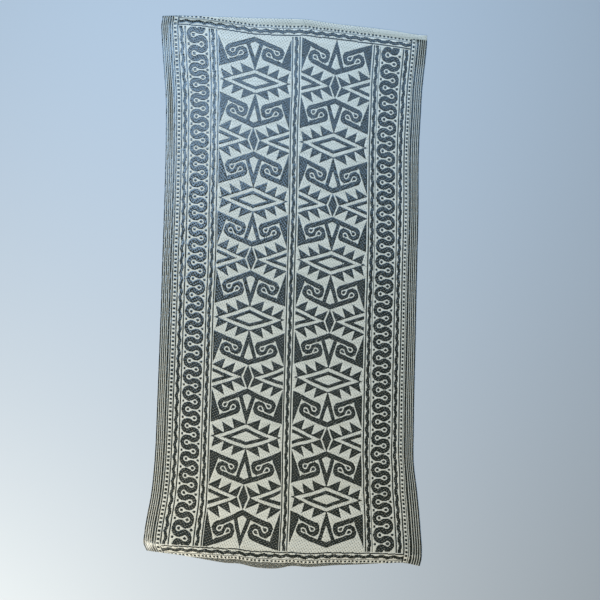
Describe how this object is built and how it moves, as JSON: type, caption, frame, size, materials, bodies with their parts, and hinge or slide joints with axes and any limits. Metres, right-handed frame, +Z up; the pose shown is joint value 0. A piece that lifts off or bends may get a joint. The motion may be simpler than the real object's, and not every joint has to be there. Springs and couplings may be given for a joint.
{
  "type": "woven rattan mat",
  "caption": "Flat rectangular floor mat plaited from natural and black-dyed split rattan strips, with diamond, hook and meander motifs and slightly flared, wavy ends.",
  "frame": {"origin": "middle of the underside, on the plane of the surface that the mat lies on", "axes": "+Z up out of the patterned face, +Y along the mat's length towards its head, +X across it to the right"},
  "size_m": [1.0643, 2.1038, 0.011],
  "materials": {
    "natural_rattan": "satin",
    "dyed_rattan": "satin"
  },
  "bodies": {
    "root": {"mat": "natural_rattan"}
  },
  "joints": []
}
